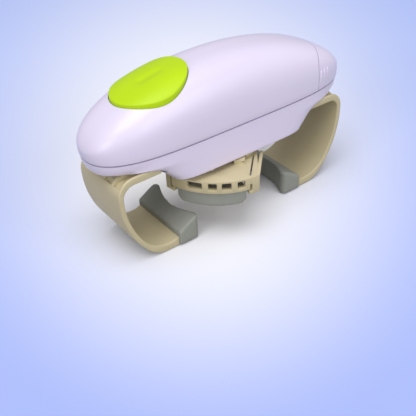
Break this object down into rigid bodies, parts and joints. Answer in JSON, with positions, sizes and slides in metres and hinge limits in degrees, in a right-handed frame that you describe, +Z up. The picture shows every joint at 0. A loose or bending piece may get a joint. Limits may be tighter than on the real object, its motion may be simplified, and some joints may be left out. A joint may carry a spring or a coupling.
{
  "type": "electric jar opener",
  "caption": "Electric jar opener: an oval housing with a push button on two C-shaped arms that close on the jar, and two jaws on a turntable that grip and turn the lid.",
  "frame": {"origin": "on the lid's axis, at the level of the two arms' feet", "axes": "+X along the housing towards the battery end, +Z up, -Y towards the viewer of the long side"},
  "size_m": [0.173, 0.0808, 0.1001],
  "materials": {
    "shell_plastic": "glossy lilac-white",
    "button_plastic": "satin lime",
    "arm_plastic": "matt beige",
    "grip_rubber": "matt grey",
    "steel": "plain",
    "brass": "turned",
    "gear_nylon": "natural",
    "dark_plastic": "moulded",
    "board": "green lacquer",
    "friction_lining": "matt",
    "cell_jacket": "bare jacket"
  },
  "bodies": {
    "housing": {"lower_shell": "shell_plastic", "top_shell": "shell_plastic", "push_switch": "dark_plastic", "circuit_board": "board", "motor": "steel", "motor_bracket": "gear_nylon", "bracket_screws": "steel", "gear_pin": "steel", "gear_frame": "gear_nylon", "gear_frame_screws": "steel", "battery_tray": "dark_plastic", "front_battery": "cell_jacket", "back_battery": "cell_jacket", "battery_springs": "steel", "shell_screws": "steel", "button_spring": "steel"},
    "battery_door": {"battery_cover": "shell_plastic", "contact_bridge": "steel"},
    "push_button": {"button": "button_plastic", "switch_plunger": "gear_nylon"},
    "left_clamp": {"left_arm": "arm_plastic", "left_arm_pad": "grip_rubber"},
    "right_clamp": {"right_arm": "arm_plastic", "right_arm_pad": "grip_rubber"},
    "arm_drive": {"arm_pinion": "gear_nylon", "arm_clutch_disc": "steel", "friction_washer": "friction_lining"},
    "turntable": {"jaw_carriage": "arm_plastic", "ring_gear": "gear_nylon", "carriage_screws": "steel"},
    "feed_shaft": {"drive_gear": "gear_nylon", "drive_shaft": "steel", "carriage_pinion": "brass"},
    "wheel": {"reduction_gear": "gear_nylon"},
    "rotor": {"motor_shaft": "steel", "worm": "brass"},
    "front_grip": {"front_jaw": "arm_plastic", "front_jaw_pad": "grip_rubber"},
    "back_grip": {"back_jaw": "arm_plastic", "back_jaw_pad": "grip_rubber"},
    "jaw_drive": {"jaw_shaft": "steel", "clutch_plate": "steel", "clutch_spring": "steel", "shaft_nut": "brass"}
  },
  "joints": [
    {"name": "cover_slide", "type": "slide", "parent": "housing", "child": "battery_door", "axis": [1, 0, 0], "range_m": [0, 0.035]},
    {"name": "button_press", "type": "slide", "parent": "housing", "child": "push_button", "axis": [0, 0, -1], "range_m": [0, 0.002], "stiffness_N_per_m": 600, "deforming": ["button_spring"]},
    {"name": "left_arm_slide", "type": "slide", "parent": "housing", "child": "left_clamp", "axis": [1, 0, 0], "range_m": [-0.01, 0.016]},
    {"name": "right_arm_slide", "type": "slide", "parent": "housing", "child": "right_clamp", "axis": [-1, 0, 0], "range_m": [-0.01, 0.016]},
    {"name": "arm_pinion_turn", "type": "hinge", "parent": "housing", "child": "arm_drive", "pos_m": [0, 0, 0.0538], "axis": [0, 0, 1], "range_deg": [-71.63, 114.6]},
    {"name": "turntable_turn", "type": "hinge", "parent": "housing", "child": "turntable", "pos_m": [0, 0, 0.043], "axis": [0, 0, 1], "continuous": true},
    {"name": "feed_shaft_turn", "type": "hinge", "parent": "housing", "child": "feed_shaft", "pos_m": [-0.013, 0, 0.053], "axis": [0, 0, 1], "continuous": true},
    {"name": "wheel_turn", "type": "hinge", "parent": "housing", "child": "wheel", "pos_m": [-0.01846, 0.0118, 0.068], "axis": [0, 0, 1], "continuous": true},
    {"name": "rotor_turn", "type": "hinge", "parent": "housing", "child": "rotor", "pos_m": [-0.02, 0, 0.07295], "axis": [1, 0, 0], "continuous": true},
    {"name": "front_jaw_slide", "type": "slide", "parent": "turntable", "child": "front_grip", "axis": [0.7071, 0.7071, 0], "range_m": [-0.011, 0.015]},
    {"name": "back_jaw_slide", "type": "slide", "parent": "turntable", "child": "back_grip", "axis": [-0.7071, -0.7071, 0], "range_m": [-0.011, 0.015]},
    {"name": "jaw_shaft_turn", "type": "hinge", "parent": "turntable", "child": "jaw_drive", "pos_m": [0, 0, 0.0416], "axis": [0, 0, 1], "range_deg": [-63.03, 85.95]}
  ],
  "couplings": [
    {"joint": "right_arm_slide", "follows": "left_arm_slide", "ratio": 1},
    {"joint": "arm_pinion_turn", "follows": "left_arm_slide", "rad_per_m": 125},
    {"joint": "feed_shaft_turn", "follows": "turntable_turn", "ratio": 4.25},
    {"joint": "wheel_turn", "follows": "turntable_turn", "ratio": -6.8},
    {"joint": "rotor_turn", "follows": "turntable_turn", "ratio": 149.6},
    {"joint": "back_jaw_slide", "follows": "front_jaw_slide", "ratio": 1},
    {"joint": "jaw_shaft_turn", "follows": "front_jaw_slide", "rad_per_m": 100}
  ]
}
